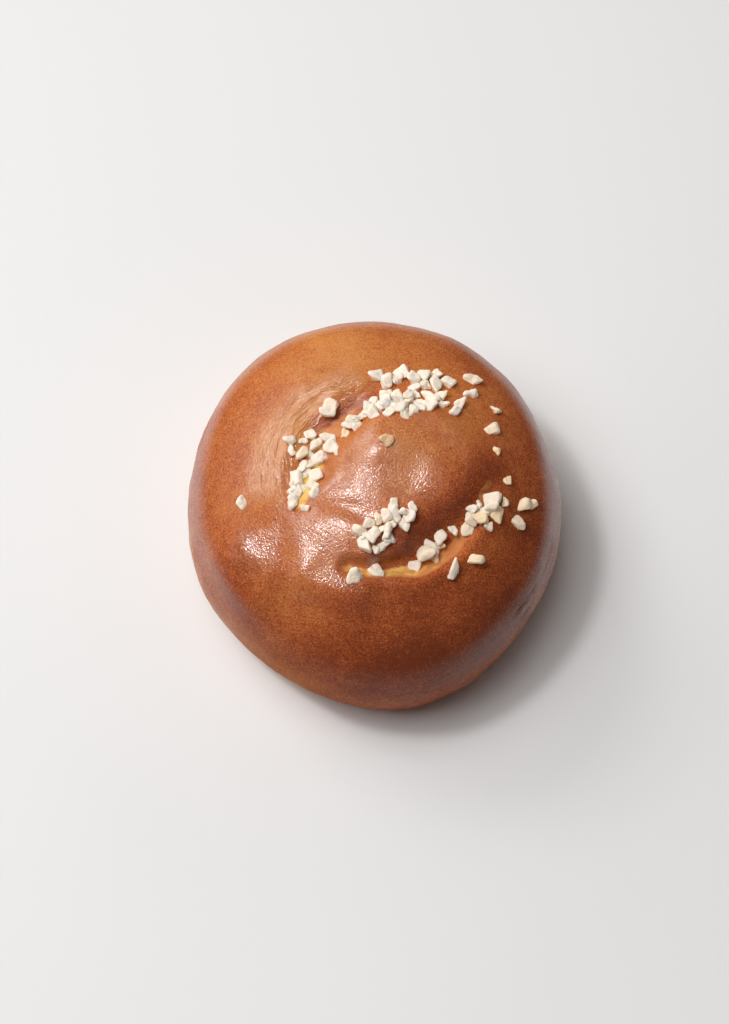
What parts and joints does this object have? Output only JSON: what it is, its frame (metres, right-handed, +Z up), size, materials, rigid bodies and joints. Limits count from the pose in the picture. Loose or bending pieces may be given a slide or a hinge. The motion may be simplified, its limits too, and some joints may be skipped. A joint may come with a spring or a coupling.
{
  "type": "craquelin brioche",
  "caption": "Round egg-washed brioche bun with two curved slashes round its cap and pearl sugar nibs baked on top, resting on a flat base.",
  "frame": {"origin": "middle of the flat base, below the middle of the bun's outline", "axes": "+Z up from the base, -Y to the front of the bun as pictured, +X to the right"},
  "size_m": [0.1086, 0.1146, 0.069],
  "materials": {
    "crust": "egg-washed baked crust, satin gloss",
    "sugar": "off-white crushed sugar"
  },
  "bodies": {
    "root": {"brioche": "crust"}
  },
  "joints": []
}
